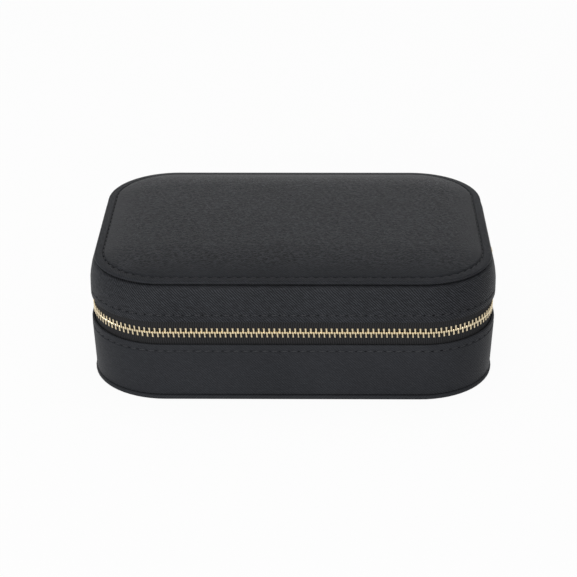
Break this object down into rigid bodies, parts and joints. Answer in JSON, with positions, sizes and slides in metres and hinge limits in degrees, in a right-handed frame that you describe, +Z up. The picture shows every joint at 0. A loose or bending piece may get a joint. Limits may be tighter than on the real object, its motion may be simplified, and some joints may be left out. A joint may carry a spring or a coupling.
{
  "type": "zip-around jewellery case",
  "caption": "Black grained-leather jewellery case with a padded lid that opens on a leather hinge, a metal zip round the front and sides, ring rolls, dividers and necklace tabs.",
  "frame": {"origin": "middle of the flat underside, on the table", "axes": "+X to the right along the long front, +Y to the hinged back, +Z up"},
  "size_m": [0.1737, 0.1202, 0.0566],
  "materials": {
    "outer_leather": "satin crosshatch grain",
    "zip_tape": "woven herringbone",
    "zip_metal": "polished pale gold",
    "board": "grey fibreboard",
    "foam": "open foam",
    "lining": "soft brushed pile"
  },
  "bodies": {
    "base": {"base_panel": "outer_leather", "base_wall_leather": "outer_leather", "hinge_strip": "outer_leather", "base_zip_tape": "zip_tape", "base_zip_stop": "zip_metal", "zip_bottom_stop": "zip_metal", "base_teeth_front": "zip_metal", "base_teeth_left": "zip_metal", "base_teeth_right": "zip_metal", "base_board": "board", "base_wall_board": "board", "base_lining_floor": "lining", "base_lining_wall": "lining", "hinge_lining": "lining", "divider_left": "lining", "divider_right": "lining", "divider_cross": "lining", "ring_roll_1": "lining", "ring_roll_2": "lining", "ring_roll_3": "lining", "ring_roll_4": "lining", "ring_roll_5": "lining", "ring_roll_6": "lining", "ring_roll_7": "lining", "ring_roll_8": "lining"},
    "lid": {"lid_top_leather": "outer_leather", "lid_wall_leather": "outer_leather", "necklace_strip": "outer_leather", "lid_zip_tape": "zip_tape", "lid_zip_stop": "zip_metal", "snap_posts": "zip_metal", "lid_teeth_front": "zip_metal", "lid_teeth_left": "zip_metal", "lid_teeth_right": "zip_metal", "lid_board": "board", "lid_wall_board": "board", "lid_foam": "foam", "lid_lining_panel": "lining", "lid_lining_wall": "lining", "lid_pocket": "lining", "pocket_hem": "lining"},
    "slider": {"slider_body": "zip_metal", "slider_bail": "zip_metal"},
    "puller": {"zip_puller": "zip_metal"},
    "tab_left": {"necklace_tab_1": "outer_leather", "tab_snap_1": "zip_metal"},
    "tab_middle": {"necklace_tab_2": "outer_leather", "tab_snap_2": "zip_metal"},
    "tab_right": {"necklace_tab_3": "outer_leather", "tab_snap_3": "zip_metal"}
  },
  "joints": [
    {"name": "lid_hinge", "type": "hinge", "parent": "base", "child": "lid", "pos_m": [0, 0.0584, 0.0307], "axis": [-1, 0, 0], "range_deg": [0, 110], "deforming": ["hinge_strip", "hinge_lining"]},
    {"name": "slider_travel", "type": "slide", "parent": "base", "child": "slider", "axis": [0, -1, 0], "range_m": [0, 0.04], "deforming": ["base_teeth_right", "lid_teeth_right"]},
    {"name": "puller_swing", "type": "hinge", "parent": "slider", "child": "puller", "pos_m": [0.0873, 0.0216, 0.0307], "axis": [0, -1, 0], "range_deg": [0, 150]},
    {"name": "tab_left_swing", "type": "hinge", "parent": "lid", "child": "tab_left", "pos_m": [-0.045, -0.044, 0.0491], "axis": [-1, 0, 0], "range_deg": [0, 85]},
    {"name": "tab_middle_swing", "type": "hinge", "parent": "lid", "child": "tab_middle", "pos_m": [0, -0.044, 0.0491], "axis": [-1, 0, 0], "range_deg": [0, 85]},
    {"name": "tab_right_swing", "type": "hinge", "parent": "lid", "child": "tab_right", "pos_m": [0.045, -0.044, 0.0491], "axis": [-1, 0, 0], "range_deg": [0, 85]}
  ]
}
